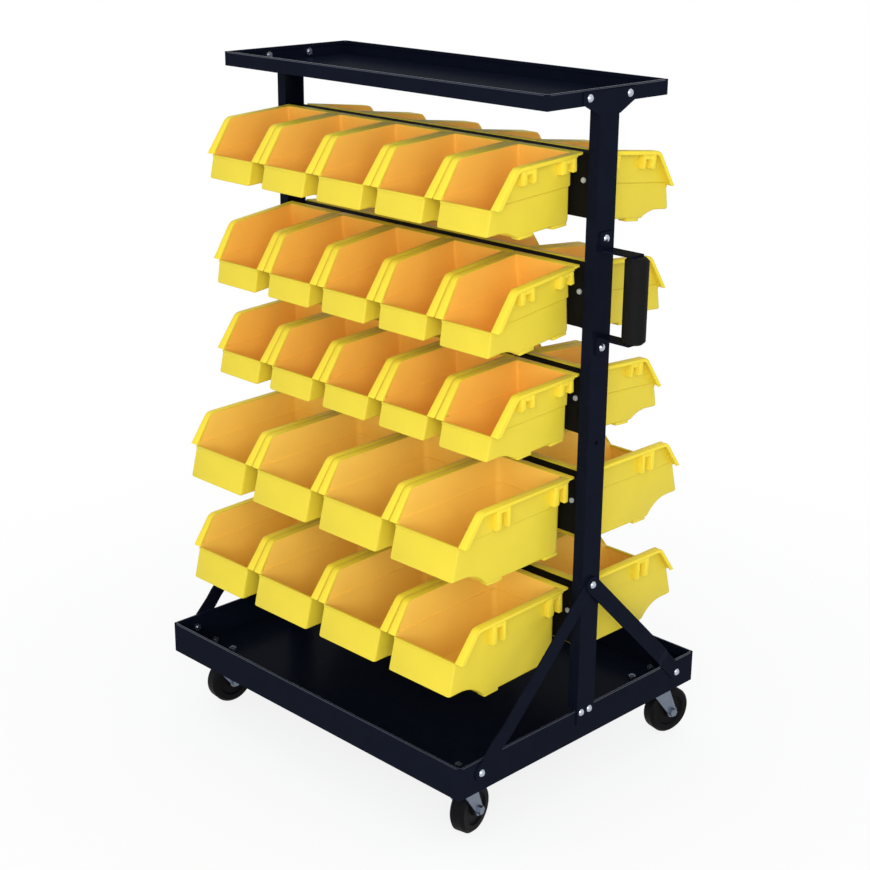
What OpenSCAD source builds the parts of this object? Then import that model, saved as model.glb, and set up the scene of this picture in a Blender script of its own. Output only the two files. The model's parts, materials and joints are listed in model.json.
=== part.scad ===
// Double-sided storage bin trolley: two sheet-steel trays and two channel
// posts carry five louvred rails, and bins hook on to both sides of each rail.
// X runs along the trolley with the push handle at +X, front bins face -Y,
// Z is up and the floor is at z = 0.

/* [Rows of bins] */
// Small bins side by side in an upper row
small_count = 5; // [3:1:6]
// Large bins side by side in a lower row
large_count = 4; // [2:1:5]
// Gap between neighbouring bin rims
bin_gap = 2; // [1:0.5:6]
// Gap between the last bin of the widest row and a post
row_end_gap = 7.75; // [3:0.25:20]
// Clear height between a small bin's foot and the rims below it
small_row_gap = 53; // [38:0.5:80]
// Clear height between a large bin's foot and the rims below it
large_row_gap = 51; // [36:0.5:80]
// Clear height between the base tray's rim and the lowest bin feet
base_gap = 66; // [35:1:120]
// Clear height between the top rims and the top tray's underside
top_gap = 66; // [35:1:120]

/* [Small bins] */
// Width over the rims
small_width = 118.5; // [90:0.5:140]
// Reach of the front wall's foot from the rail
small_reach = 178.5; // [150:0.5:210]
// Height from foot to rim
small_height = 99; // [90:1:130]
// Drop from the rim to the front wall's top
small_front_top = 49.5; // [45:0.5:62]
// Drop from the rim to the front wall's foot
small_front_foot = 83.5; // [76:0.5:92]
// How far the front wall's foot stands ahead of its top
small_front_lean = 10.5; // [2:0.5:16]
// Horizontal run of the sloped side edge
small_slope_run = 40; // [25:1:60]
// Height of the ribs under the side rim
small_rib_height = 21; // [8:1:30]

/* [Large bins] */
// Width over the rims
large_width = 148.5; // [120:0.5:170]
// Reach of the front wall's foot from the rail
large_reach = 237; // [200:1:260]
// Height from foot to rim
large_height = 120; // [110:1:150]
// Drop from the rim to the front wall's top
large_front_top = 45; // [40:1:60]
// Drop from the rim to the front wall's foot
large_front_foot = 93; // [86:1:104]
// How far the front wall's foot stands ahead of its top
large_front_lean = 14.5; // [4:0.5:20]
// Horizontal run of the sloped side edge
large_slope_run = 33; // [20:1:60]
// Height of the ribs under the side rim
large_rib_height = 32; // [8:1:36]

/* [Bins on their hooks] */
// Tilt of the first front row
front_tilt_1 = 3.5; // [0:0.5:7]
// Tilt of the second front row
front_tilt_2 = 7; // [0:0.5:7]
// Tilt of the third front row
front_tilt_3 = 3; // [0:0.5:7]
// Tilt of the fourth front row
front_tilt_4 = 1.5; // [0:0.5:7]
// Tilt of the fifth front row
front_tilt_5 = 2; // [0:0.5:7]
// Tilt of the first rear row
rear_tilt_1 = 6.5; // [0:0.5:7]
// Tilt of the second rear row
rear_tilt_2 = 5; // [0:0.5:7]
// Tilt of the third rear row
rear_tilt_3 = 3.5; // [0:0.5:7]
// Tilt of the fourth rear row
rear_tilt_4 = 0; // [0:0.5:7]
// Tilt of the fifth rear row
rear_tilt_5 = 0; // [0:0.5:7]
// Sideways shift of the first front row, as a share of its slack
front_shift_1 = -0.95; // [-1:0.05:1]
// Sideways shift of the second front row, as a share of its slack
front_shift_2 = -0.75; // [-1:0.05:1]
// Sideways shift of the third front row, as a share of its slack
front_shift_3 = 0.2; // [-1:0.05:1]
// Sideways shift of the fourth front row, as a share of its slack
front_shift_4 = -0.15; // [-1:0.05:1]
// Sideways shift of the fifth front row, as a share of its slack
front_shift_5 = -0.65; // [-1:0.05:1]
// Sideways shift of the first rear row, as a share of its slack
rear_shift_1 = 0.95; // [-1:0.05:1]
// Sideways shift of the second rear row, as a share of its slack
rear_shift_2 = 0; // [-1:0.05:1]
// Sideways shift of the third rear row, as a share of its slack
rear_shift_3 = 0.2; // [-1:0.05:1]
// Sideways shift of the fourth rear row, as a share of its slack
rear_shift_4 = 0; // [-1:0.05:1]
// Sideways shift of the fifth rear row, as a share of its slack
rear_shift_5 = 0; // [-1:0.05:1]

/* [Bin moulding] */
// Wall thickness
bin_wall = 2.2; // [1.6:0.1:3]
// Rim flange width beyond the side wall
rim_width = 10; // [6:0.5:12]
// Rim flange thickness
rim_thick = 4; // [2.5:0.1:5]
// Step of the walls at the crease
crease_step = 1.6; // [0.8:0.1:2.5]
// Height of the crease above the front wall's top
crease_rise = 5; // [2:0.5:8]
// Draft of each wall stretch, top to bottom
wall_draft = 1.2; // [0.4:0.1:2.5]
// Radius of the arch under the front
arch_radius = 60; // [45:1:90]
// Flat underside ahead of the arch
arch_flat = 23; // [12:1:30]
// Height of the feet
foot_height = 4; // [2:0.5:6]
// Length of a foot along the bin
pad_length = 28; // [15:1:40]
// How far the sloped rim passes the front wall
tip_overhang = 1; // [0.5:0.5:6]
// Length of the hook lip behind the louvre
lip_length = 26; // [16:1:28]
// Thickness of the hook lip
lip_thick = 2; // [1.5:0.1:2.4]
// Thickness of one rib
rib_thick = 8; // [2:0.5:10]
// Spacing of a pair of ribs
rib_spacing = 20; // [12:1:24]
// Place of the front ribs as a share of the reach
rib_place = 0.68; // [0.6:0.01:0.72]
// Bead along the front wall's top
bead_size = 1.5; // [0.8:0.1:2.5]

/* [Rails] */
// Width of the rail's folded top
rail_width = 18; // [14:0.5:26]
// Height of the rail's side webs
rail_height = 87; // [60:1:100]
// Rail sheet thickness
rail_sheet = 1.4; // [1:0.1:2]
// Length of one louvre
louvre_length = 70; // [40:1:76]
// How far the bin rims stand above the rail's top
rim_above_rail = 1; // [0.5:0.25:3]
// Drop of the rail screws below the rim
rail_screw_drop = 38; // [25:1:55]
// Distance of the rail screws from the post's web
rail_screw_inset = 31; // [22:1:45]

/* [Trays] */
// Depth of the top tray
top_depth = 244; // [180:1:320]
// Height of the top tray's walls
top_wall = 21; // [17:1:40]
// Depth of the base tray
base_depth = 525; // [430:1:620]
// Height of the base tray's walls
base_wall = 50; // [42:1:80]
// Tray sheet thickness
tray_sheet = 1.5; // [1:0.1:2.5]
// Depth of the folded hem along the rims
hem_height = 5; // [3:0.5:6]

/* [Posts] */
// Width of the post's web
post_width = 38; // [32:1:60]
// Depth of the post's flanges
post_depth = 18; // [12:1:30]
// Post sheet thickness
post_sheet = 2; // [1.5:0.1:3]
// Half-width of the head plate that carries the top tray
head_half = 54; // [48:1:80]
// Height of the head plate's flare
flare_height = 17; // [12:1:30]
// Half-spacing of the head bolts
head_bolt_half = 40.5; // [36:0.5:44]
// Half-spacing of the foot bolts
foot_bolt_half = 9; // [7:0.5:11]
// Radius of the spare hole in the post's web
spare_hole_radius = 3.3; // [2:0.1:5]
// Drop of the spare hole below the third row's rims
spare_hole_drop = 98; // [85:1:115]

/* [Braces] */
// Width of a brace bar
brace_width = 25; // [18:1:32]
// Thickness of a brace bar
brace_sheet = 2.5; // [2:0.1:4]
// Height of the shared upper brace bolt above the lowest rims
brace_over_rim = 11; // [3:1:20]
// Distance of the lower brace bolt from the tray's corner
brace_inset = 42.5; // [30:0.5:70]

/* [Handle] */
// Drop of the handle's middle below the second row's rims
handle_drop = 36; // [30:0.5:45]
// Height between the handle's arms
handle_height = 124; // [100:1:160]
// Reach from the post to the middle of the grip
handle_reach = 56; // [45:1:80]
// Width of the handle strip
strip_width = 24; // [16:1:26]
// Thickness of the handle strip
strip_thick = 3; // [2:0.5:4]
// Diameter of the grip
grip_diameter = 33; // [30:1:44]
// Length of a bolted tab
tab_length = 23; // [22:1:40]

/* [Casters] */
// Wheel diameter
wheel_diameter = 75; // [60:1:80]
// Wheel width
wheel_width = 24; // [18:1:28]
// Height from the floor to the base tray's underside
caster_height = 96; // [92:1:120]
// Trail of the axle behind the swivel
caster_trail = 30; // [22:1:36]
// Distance of the swivel from the tray's walls
caster_inset = 43; // [38:1:70]
// Plate edge length
plate_size = 62; // [60:1:75]
// Plate bolt spacing
plate_bolts = 46; // [46:1:52]
// Axle diameter
axle_diameter = 8; // [6:0.5:10]
// Turn of the front left caster
front_left_turn = 83; // [0:1:359]
// Turn of the front right caster
front_right_turn = 102; // [0:1:359]
// Turn of the rear left caster
rear_left_turn = 86; // [0:1:359]
// Turn of the rear right caster
rear_right_turn = 77; // [0:1:359]

/* [Fasteners] */
// Frame bolt diameter
bolt_diameter = 6; // [5:0.5:8]
// Domed head diameter
head_diameter = 11; // [9:0.5:14]
// Domed head height
head_height = 3.2; // [2:0.1:5]
// Rail screw diameter
screw_diameter = 4; // [3:0.5:5]

/* [Hidden] */
$fn = 48;

// Colours
steel_black = [0.06, 0.07, 0.12];
bin_yellow = [0.95, 0.78, 0.08];
zinc_grey = [0.55, 0.6, 0.66];
wheel_black = [0.07, 0.07, 0.07];

// Clearances
seat = 0.3;
bolt_play = 0.1;
running_play = 0.06;
seam = 0.1;
cut = 1;
past = 20;

// Bin sizes by row: width, reach, height, front top, front foot, lean, slope run, rib height
SMALL = [small_width, small_reach, small_height, small_front_top,
         small_front_foot, small_front_lean, small_slope_run, small_rib_height];
LARGE = [large_width, large_reach, large_height, large_front_top,
         large_front_foot, large_front_lean, large_slope_run, large_rib_height];
function is_small(row) = row <= 3;
function size_of(row) = is_small(row) ? SMALL : LARGE;
function count_of(row) = is_small(row) ? small_count : large_count;
function pitch_of(row) = size_of(row)[0] + bin_gap;
function row_span(row) = count_of(row) * pitch_of(row) - bin_gap;
function bin_x(row, i) = (i - (count_of(row) + 1) / 2) * pitch_of(row);

// How each row hangs: a tilt, and a shift within the slack between its bins and the posts
FRONT_TILTS = [front_tilt_1, front_tilt_2, front_tilt_3, front_tilt_4, front_tilt_5];
REAR_TILTS = [rear_tilt_1, rear_tilt_2, rear_tilt_3, rear_tilt_4, rear_tilt_5];
FRONT_SHIFTS = [front_shift_1, front_shift_2, front_shift_3, front_shift_4, front_shift_5];
REAR_SHIFTS = [rear_shift_1, rear_shift_2, rear_shift_3, rear_shift_4, rear_shift_5];
row_slack = row_end_gap - 2 * seat;

// Heights
base_rim = caster_height + base_wall;
rim_5 = base_rim + base_gap + large_height;
rim_4 = rim_5 + large_row_gap + large_height;
rim_3 = rim_4 + small_row_gap + small_height;
rim_2 = rim_3 + small_row_gap + small_height;
rim_1 = rim_2 + small_row_gap + small_height;
RIMS = [rim_1, rim_2, rim_3, rim_4, rim_5];
function rim_of(row) = RIMS[row - 1];
top_floor = rim_1 + top_gap;
top_rim = top_floor + top_wall;

// Lengths along X
tray_length = max(row_span(1), row_span(4)) + 2 * (row_end_gap + post_depth - post_sheet);
end_x = tray_length / 2;
web_x = end_x + post_sheet;
rail_end_gap = 8;
rail_half = end_x - rail_end_gap;

// Hook and louvre, measured forward from the rail's web
louvre_gap = 5.7;
hook_back = louvre_gap - lip_thick - 2 * seat;
wall_clearance = 5.5;
bin_back = louvre_gap + rail_sheet + wall_clearance;
louvre_drop = lip_length + rim_thick;

// Bolt holes and heights of the joints
hole_radius = bolt_diameter / 2 + bolt_play;
screw_hole_radius = screw_diameter / 2 + bolt_play;
nut_height = 0.8 * bolt_diameter;
nut_radius = bolt_diameter;
head_bolt_z = top_rim - hem_height - nut_radius - seat;
foot_bolt_drop = 6;
foot_bolt_z = base_rim - foot_bolt_drop;
brace_bolt_y = base_depth / 2 - brace_inset;
brace_bolt_z = base_rim - base_wall * 0.42;
brace_top_z = rim_5 + brace_over_rim;
handle_z = rim_2 - handle_drop;
spare_hole_z = rim_3 - spare_hole_drop;
arm_top_z = handle_z + handle_height / 2;
tab_margin = 4;
tab_bolt_rise = tab_length - head_diameter / 2 - tab_margin;
bolt_end = 2;

// Casters
plate_thick = 2.5;
race_height = 6;
fork_sheet = 2.5;
fork_gap = 1.2;
swivel_x = end_x - caster_inset;
swivel_y = base_depth / 2 - caster_inset;
plate_z = caster_height - plate_thick;
fork_top = plate_z - race_height - seat;
wheel_radius = wheel_diameter / 2;
hub_half = wheel_width / 2 + 1.5;
wheel_rounding = wheel_width * 0.16;
leg_inner = hub_half + fork_gap;

// The box's middle is the origin: the handle and the trailing wheels reach further out
function wheel_reach(turn) = caster_trail * sin(turn) + wheel_radius * abs(sin(turn))
    + (wheel_width / 2 - wheel_rounding) * abs(cos(turn));
grip_reach = web_x + handle_reach + grip_diameter / 2;
brace_stack = 2 * brace_sheet + bolt_play;
left_reach = web_x + brace_stack + head_height;
rear_wheels = max(wheel_reach(rear_left_turn), wheel_reach(rear_right_turn));
front_wheels = min(wheel_reach(front_left_turn), wheel_reach(front_right_turn));
rear_reach = max(base_depth / 2, swivel_y + rear_wheels);
front_reach = max(base_depth / 2, swivel_y - front_wheels);
centre_x = (grip_reach - left_reach) / 2;
centre_y = (rear_reach - front_reach) / 2;

module framed() {
    translate([-centre_x, -centre_y, 0]) children();
}

// Extrusions of outlines: across X from an outline in (y, z), across Y from one in (x, z)
module along_x(half) {
    rotate([90, 0, 90]) translate([0, 0, -half]) linear_extrude(2 * half) children();
}

module along_y(from, to) {
    translate([0, to, 0]) rotate([90, 0, 0]) linear_extrude(to - from) children();
}

module x_cylinder(r, from, to) {
    translate([from, 0, 0]) rotate([0, 90, 0]) cylinder(r = r, h = to - from);
}

module y_cylinder(r, from, to) {
    translate([0, from, 0]) rotate([-90, 0, 0]) cylinder(r = r, h = to - from);
}

// Both ends of the trolley, from a shape drawn at the +X end
module both_ends() {
    children();
    mirror([1, 0, 0]) children();
}

module both_sides() {
    children();
    mirror([0, 1, 0]) children();
}

// Trays: a floor between four walls with a hem turned in, welded along fine seams
module tray(depth, wall_height, floor_z) {
    hem_z = wall_height - hem_height;
    inner_x = end_x - tray_sheet - seam;
    inner_y = depth / 2 - tray_sheet - seam;
    hem_half = depth / 2 - 2 * tray_sheet - seam;
    translate([0, 0, floor_z]) {
        translate([-inner_x, -inner_y, 0]) cube([2 * inner_x, 2 * inner_y, tray_sheet]);
        both_sides()
            translate([0, depth / 2, 0]) along_x(inner_x)
                polygon([[0, 0], [0, wall_height], [-2 * tray_sheet, wall_height],
                         [-2 * tray_sheet, hem_z], [-tray_sheet, hem_z], [-tray_sheet, 0]]);
        both_ends() {
            translate([end_x - tray_sheet, -depth / 2, 0]) cube([tray_sheet, depth, wall_height]);
            translate([end_x - 2 * tray_sheet, -hem_half, hem_z])
                cube([1.5 * tray_sheet, 2 * hem_half, hem_height]);
        }
    }
}

module end_holes(r, half, z) {
    for (side = [-1, 1])
        translate([0, side * half, z])
            x_cylinder(r, -end_x - post_sheet - cut, end_x + post_sheet + cut);
}

module caster_holes() {
    for (sx = [-1, 1], sy = [-1, 1], bx = [-1, 1], by = [-1, 1])
        translate([sx * swivel_x + bx * plate_bolts / 2, sy * swivel_y + by * plate_bolts / 2, 0])
            children();
}

module base_tray() {
    color(steel_black) framed()
        difference() {
            tray(base_depth, base_wall, caster_height);
            end_holes(hole_radius, foot_bolt_half, foot_bolt_z);
            end_holes(hole_radius, brace_bolt_y, brace_bolt_z);
            caster_holes()
                translate([0, 0, caster_height - cut])
                    cylinder(r = hole_radius, h = tray_sheet + 2 * cut);
        }
}

module top_tray() {
    color(steel_black) framed()
        difference() {
            tray(top_depth, top_wall, top_floor);
            end_holes(hole_radius, head_bolt_half, head_bolt_z);
        }
}

// Posts: a channel between the trays
channel_low = base_rim + seat;
channel_top = top_floor - seat;
module right_post_shape() {
    height = channel_top - channel_low;
    difference() {
        translate([web_x - post_depth, -post_width / 2, channel_low])
            difference() {
                cube([post_depth, post_width, height]);
                translate([-cut, post_sheet, -cut])
                    cube([post_depth + cut - post_sheet, post_width - 2 * post_sheet, height + 2 * cut]);
            }
        translate([0, 0, brace_top_z]) x_cylinder(hole_radius, end_x - cut, web_x + cut);
        for (side = [-1, 1])
            translate([0, 0, handle_z + side * (handle_height / 2 + tab_bolt_rise)])
                x_cylinder(hole_radius, end_x - cut, web_x + cut);
        translate([0, 0, spare_hole_z]) x_cylinder(spare_hole_radius, end_x - cut, web_x + cut);
    }
}

module right_post() {
    color(steel_black) framed() right_post_shape();
}

module left_post() {
    color(steel_black) framed() mirror([1, 0, 0]) right_post_shape();
}

// Plates welded to the channel's ends: a flared head on the top tray, a foot on the base tray
head_margin = 3;
head_rise = 2.5;
head_low = top_floor + head_rise;
flare_step = 2;
flare_low = head_low - flare_height;
foot_plate = 25;
foot_margin = 8;
foot_end = base_rim - min(foot_plate, base_wall - foot_margin);
module head_outline() {
    inner = post_width / 2 + seam;
    outer = post_width / 2 + flare_step;
    top = top_rim - head_margin;
    polygon([[-head_half, top], [-head_half, head_low], [-outer, flare_low], [-inner, flare_low],
             [-inner, channel_top + seam], [inner, channel_top + seam],
             [inner, flare_low], [outer, flare_low], [head_half, head_low], [head_half, top]]);
}

module foot_outline() {
    translate([-post_width / 2, foot_end]) square([post_width, channel_low - seam - foot_end]);
}

module post_plates() {
    color(steel_black) framed() both_ends()
        difference() {
            translate([end_x, 0, 0]) rotate([90, 0, 90]) linear_extrude(post_sheet) {
                head_outline();
                foot_outline();
            }
            end_holes(hole_radius, head_bolt_half, head_bolt_z);
            end_holes(hole_radius, foot_bolt_half, foot_bolt_z);
        }
}

// Rails: a folded inverted channel with one louvre for each bin on both sides
module louvre_outline() {
    front = louvre_gap + rail_sheet;
    polygon([[louvre_gap, -rim_thick - seat], [front, -rim_thick - seat],
             [front, -louvre_drop], [0, -louvre_drop - front],
             [0, -louvre_drop - front + 1.5 * rail_sheet], [louvre_gap, -louvre_drop + 0.4 * rail_sheet]]);
}

module rail(row) {
    half_width = rail_width / 2;
    rail_top = -rim_above_rail;
    color(steel_black) framed() translate([0, 0, rim_of(row)])
        difference() {
            union() {
                translate([-rail_half, -half_width, rail_top - rail_height])
                    cube([2 * rail_half, rail_width, rail_height]);
                for (i = [1 : count_of(row)])
                    translate([bin_x(row, i), 0, 0]) both_sides()
                        translate([0, half_width, 0])
                            along_x(louvre_length / 2) louvre_outline();
            }
            translate([-rail_half - cut, -half_width + rail_sheet, rail_top - rail_height - cut])
                cube([2 * (rail_half + cut), rail_width - 2 * rail_sheet, rail_height + cut - rail_sheet]);
            both_ends()
                translate([end_x - rail_screw_inset, 0, -rail_screw_drop])
                    y_cylinder(screw_hole_radius, -rail_width, rail_width);
        }
}

// Rail brackets: a folded cleat on each post's web that slips into the rail's end
bracket_width = rail_width - 2 * rail_sheet - 2 * bolt_play;
bracket_sheet = 2;
bracket_short = 25;
bracket_height = rail_height - bracket_short;
bracket_drop = 6;
bracket_past = 14;
bracket_length = rail_screw_inset + bracket_past;
module rail_bracket(row) {
    top = rim_of(row) - rim_above_rail - rail_sheet - bracket_drop;
    translate([end_x - bracket_length, -bracket_width / 2, top - bracket_height])
        difference() {
            cube([bracket_length, bracket_width, bracket_height]);
            translate([-cut, bracket_sheet, -cut])
                cube([bracket_length + cut - bracket_sheet, bracket_width - 2 * bracket_sheet,
                      bracket_height + 2 * cut]);
            translate([bracket_length - rail_screw_inset, bracket_width / 2,
                       bracket_height - top + rim_of(row) - rail_screw_drop])
                y_cylinder(screw_hole_radius, -rail_width, rail_width);
        }
}

module rail_brackets() {
    color(steel_black) framed() both_ends()
        for (row = [1 : 5])
            rail_bracket(row);
}

pan_head = 2.4;
screw_end = 0.8;
module pan_screw(r, length) {
    cylinder(r = r, h = length);
    translate([0, 0, -pan_head]) cylinder(r1 = 1.7 * r, r2 = 2 * r, h = pan_head / 2);
    translate([0, 0, -pan_head / 2]) cylinder(r = 2 * r, h = pan_head / 2);
}

module rail_screws() {
    color(zinc_grey) framed() both_ends() both_sides()
        for (row = [1 : 5])
            translate([end_x - rail_screw_inset, -rail_width / 2, rim_of(row) - rail_screw_drop])
                rotate([-90, 0, 0])
                    pan_screw(screw_diameter / 2, rail_sheet + bracket_sheet + bolt_play + screw_end);
}

// Braces: two flat bars at each end share the upper bolt and are set in at the tray
brace_run = sqrt(pow(brace_bolt_y, 2) + pow(brace_top_z - brace_bolt_z, 2));
brace_angle = atan2(brace_bolt_y, brace_top_z - brace_bolt_z);
module brace(layer) {
    out = post_sheet + layer * (brace_sheet + bolt_play);
    end = brace_width / 2;
    bend = brace_run - brace_width * 2.6;
    far = post_sheet + brace_stack + cut;
    translate([end_x, 0, brace_top_z]) rotate([180 - brace_angle, 0, 0])
        difference() {
            intersection() {
                rotate([90, 0, 0]) translate([0, 0, -end]) linear_extrude(brace_width)
                    polygon([[out, -end], [out + brace_sheet, -end], [out + brace_sheet, bend],
                             [brace_sheet, bend + brace_width * 0.7], [brace_sheet, brace_run + end],
                             [0, brace_run + end], [0, bend + brace_width * 0.7], [out, bend]]);
                union() {
                    x_cylinder(end, -cut, far);
                    translate([0, 0, brace_run]) x_cylinder(end, -cut, far);
                    translate([-cut, -end, 0]) cube([far + cut, brace_width, brace_run]);
                }
            }
            x_cylinder(hole_radius, -cut, far);
            translate([0, 0, brace_run]) x_cylinder(hole_radius, -cut, far);
        }
}

module braces() {
    color(steel_black) framed() both_ends() {
        brace(0);
        mirror([0, 1, 0]) brace(1);
    }
}

// Push handle: one bent strip bolted to the right post, and a grip round its upright
module strip_outline() {
    half = handle_height / 2;
    tab = half + tab_length;
    far = handle_reach + strip_thick / 2;
    polygon([[0, tab], [strip_thick, tab], [strip_thick, half], [far, half], [far, -half],
             [strip_thick, -half], [strip_thick, -tab], [0, -tab],
             [0, -half + strip_thick], [far - strip_thick, -half + strip_thick],
             [far - strip_thick, half - strip_thick], [0, half - strip_thick]]);
}

module handle_bracket() {
    color(steel_black) framed() translate([web_x, 0, handle_z])
        difference() {
            along_y(-strip_width / 2, strip_width / 2) strip_outline();
            for (side = [-1, 1])
                translate([0, 0, side * (handle_height / 2 + tab_bolt_rise)])
                    x_cylinder(hole_radius, -cut, strip_thick + cut);
        }
}

module handle_grip() {
    half = handle_height / 2 - strip_thick - bolt_play;
    r = grip_diameter / 2;
    chamfer = 4;
    color(wheel_black) framed() translate([web_x + handle_reach, 0, handle_z])
        difference() {
            rotate_extrude()
                polygon([[0, -half], [r - chamfer, -half], [r, -half + chamfer],
                         [r, half - chamfer], [r - chamfer, half], [0, half]]);
            translate([-strip_thick / 2 - bolt_play, -strip_width / 2 - bolt_play, -half - cut])
                cube([strip_thick + 2 * bolt_play, strip_width + 2 * bolt_play, 2 * (half + cut)]);
        }
}

// Bins, drawn with the rail's web face at y = 0, the front towards +Y and the rim at z = 0
function crease_of(b) = b[3] - crease_rise;
function half_top(b) = b[0] / 2 - rim_width;
function half_low(b) = half_top(b) - wall_draft - crease_step;
function front_y(b) = b[1] - b[5];
function tip_y(b) = front_y(b) + tip_overhang;
tip_rise = 0.8;
function tip_z(b) = -b[3] + tip_rise;
function slope_y(b) = tip_y(b) - b[6];
function floor_z(b) = -b[2] + foot_height;
function arch_y(b) = b[1] - arch_flat;
function arch_half(b) = sqrt(pow(arch_radius, 2) - pow(arch_radius - b[2] + b[4], 2));
function foot_y(b) = arch_y(b) - arch_half(b);

// The sloped edge set in by t, as its height z gives it
function slope_length(b) = sqrt(pow(b[6], 2) + pow(tip_z(b), 2));
function slope_at(b, z, t) = slope_y(b) + (b[6] * z + t * slope_length(b)) / tip_z(b);

// Side outline of the body, set in by t for the hollow; its top edges end inside the rim
module bin_side(b, t) {
    c = -crease_of(b);
    y0 = bin_back + t;
    y1 = y0 + wall_draft;
    y2 = y1 + crease_step;
    y3 = y2 + wall_draft;
    low = floor_z(b) + t;
    inset = rim_thick / 2;
    ahead = tip_y(b);
    edge = min(slope_at(b, -b[3], inset), front_y(b) - seam);
    polygon(concat(
        t == 0
            ? [[y0, -inset], [slope_at(b, -inset, inset), -inset], [edge, -b[3]],
               [front_y(b), -b[3]], [b[1], -b[4]]]
            : [[y0, cut], [ahead, cut], [ahead, -b[3] + cut],
               [front_y(b) - t - b[5] * cut / (b[4] - b[3]), -b[3] + cut], [b[1] - t, -b[4]]],
        [[b[1] - t, low], [y3, low], [y2, c], [y1, c]]));
}

// Front outline of the body, set in by t for the hollow
module bin_front(b, t) {
    c = -crease_of(b);
    h0 = half_top(b) - t;
    h1 = h0 - wall_draft;
    h2 = half_low(b) - t;
    h3 = h2 - wall_draft;
    top = t == 0 ? 0 : cut;
    low = -b[2] - cut;
    polygon([[h0, top], [h1, c], [h2, c], [h3, low], [-h3, low], [-h2, c], [-h1, c], [-h0, top]]);
}

// Space under the front: the arch and all that lies ahead of it, raised by t for the hollow
module bin_arch(b, t) {
    translate([0, arch_y(b), -b[4] - arch_radius]) x_cylinder(arch_radius + t, -b[0], b[0]);
    translate([-b[0], arch_y(b), -b[2] - past])
        cube([2 * b[0], arch_flat + past, b[2] + past - b[4] + t]);
}

module bin_body(b) {
    difference() {
        intersection() {
            along_x(b[0]) bin_side(b, 0);
            along_y(0, b[1] + past) bin_front(b, 0);
        }
        bin_arch(b, 0);
    }
}

module bin_hollow(b) {
    difference() {
        intersection() {
            along_x(b[0]) bin_side(b, bin_wall);
            along_y(0, b[1] + past) bin_front(b, bin_wall);
        }
        bin_arch(b, bin_wall);
    }
}

module bin_rim_outline(b) {
    polygon([[bin_back, 0], [slope_y(b), 0], [tip_y(b), tip_z(b)],
             [slope_at(b, tip_z(b), rim_thick), tip_z(b)],
             [slope_at(b, -rim_thick, rim_thick), -rim_thick], [bin_back, -rim_thick]]);
}

rib_start = 2.5;
rib_setback = 1.5;
function rib_front(b) = min(rib_place * b[1], slope_y(b) - rib_setback);
module bin_side_trim(b) {
    inner = half_low(b) - bin_wall / 2;
    translate([(b[0] / 2 + inner) / 2, 0, 0])
        along_x((b[0] / 2 - inner) / 2) bin_rim_outline(b);
    for (y = [bin_back + rib_start, rib_front(b) - rib_spacing - rib_thick], k = [0, 1])
        translate([inner, y + k * rib_spacing, -rim_thick - b[7]])
            cube([b[0] / 2 - rib_setback - inner, rib_thick, b[7] + rim_thick / 2]);
}

pad_setback = 1;
pad_start = 4;
module bin_feet(b) {
    half = half_low(b) - wall_draft - pad_setback;
    for (y = [foot_y(b) - pad_length, bin_back + 2 * wall_draft + crease_step + pad_start], side = [-1, 1])
        translate([side > 0 ? half - pad_length / 2 : -half, y, -b[2]])
            cube([pad_length / 2, pad_length, foot_height + bin_wall / 2]);
}

module bin_hook(b) {
    lip_half = half_low(b);
    translate([-b[0] / 2, hook_back, -rim_thick])
        cube([b[0], bin_back + bin_wall - hook_back, rim_thick]);
    translate([-lip_half, hook_back, -lip_length]) cube([2 * lip_half, lip_thick, lip_length]);
}

module bin_bead(b) {
    translate([0, front_y(b), -b[3]])
        along_x(half_low(b) - wall_draft)
            polygon([[-bin_wall / 2, 0], [bead_size, 0], [bead_size, -2 * bead_size],
                     [bead_size / 3, -2 * bead_size], [-bin_wall / 2, -2 * bead_size]]);
}

module bin(b) {
    difference() {
        union() {
            bin_body(b);
            bin_side_trim(b);
            mirror([1, 0, 0]) bin_side_trim(b);
            bin_hook(b);
        }
        bin_hollow(b);
    }
    bin_feet(b);
    bin_bead(b);
}

// A bin tilts about the louvre's top edge that its hook sits on
module hung_bin(row, i, tilt, shift) {
    pivot = [0, louvre_gap + rail_sheet / 2, -rim_thick];
    translate([bin_x(row, i) + shift * row_slack, rail_width / 2, rim_of(row)])
        translate(pivot) rotate([-tilt, 0, 0]) translate(-pivot)
            bin(size_of(row));
}

module front_bin(row, i) {
    color(bin_yellow) framed() mirror([0, 1, 0])
        hung_bin(row, i, FRONT_TILTS[row - 1], FRONT_SHIFTS[row - 1]);
}

module rear_bins(row) {
    color(bin_yellow) framed()
        for (i = [1 : count_of(row)])
            hung_bin(row, i, REAR_TILTS[row - 1], REAR_SHIFTS[row - 1]);
}

// Casters: a plate with a swivel race, a fork, an axle and a solid wheel
module swivels() {
    for (sx = [-1, 1], sy = [-1, 1])
        translate([sx * swivel_x, sy * swivel_y, 0]) children();
}

king_radius = 5;
king_head = 2.5;
king_rim = 3;
race_low = 19;
race_high = 23;
module caster_plates() {
    color(zinc_grey) framed() swivels()
        difference() {
            union() {
                translate([-plate_size / 2, -plate_size / 2, plate_z])
                    cube([plate_size, plate_size, plate_thick]);
                translate([0, 0, plate_z - race_height])
                    cylinder(r1 = race_low, r2 = race_high, h = race_height);
                translate([0, 0, fork_top - fork_sheet - king_head])
                    cylinder(r = king_radius, h = plate_z - fork_top + fork_sheet + king_head);
                translate([0, 0, fork_top - fork_sheet - king_head - seat])
                    cylinder(r = king_radius + king_rim, h = king_head);
            }
            for (bx = [-1, 1], by = [-1, 1])
                translate([bx * plate_bolts / 2, by * plate_bolts / 2, plate_z - cut])
                    cylinder(r = hole_radius, h = plate_thick + 2 * cut);
        }
}

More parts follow.
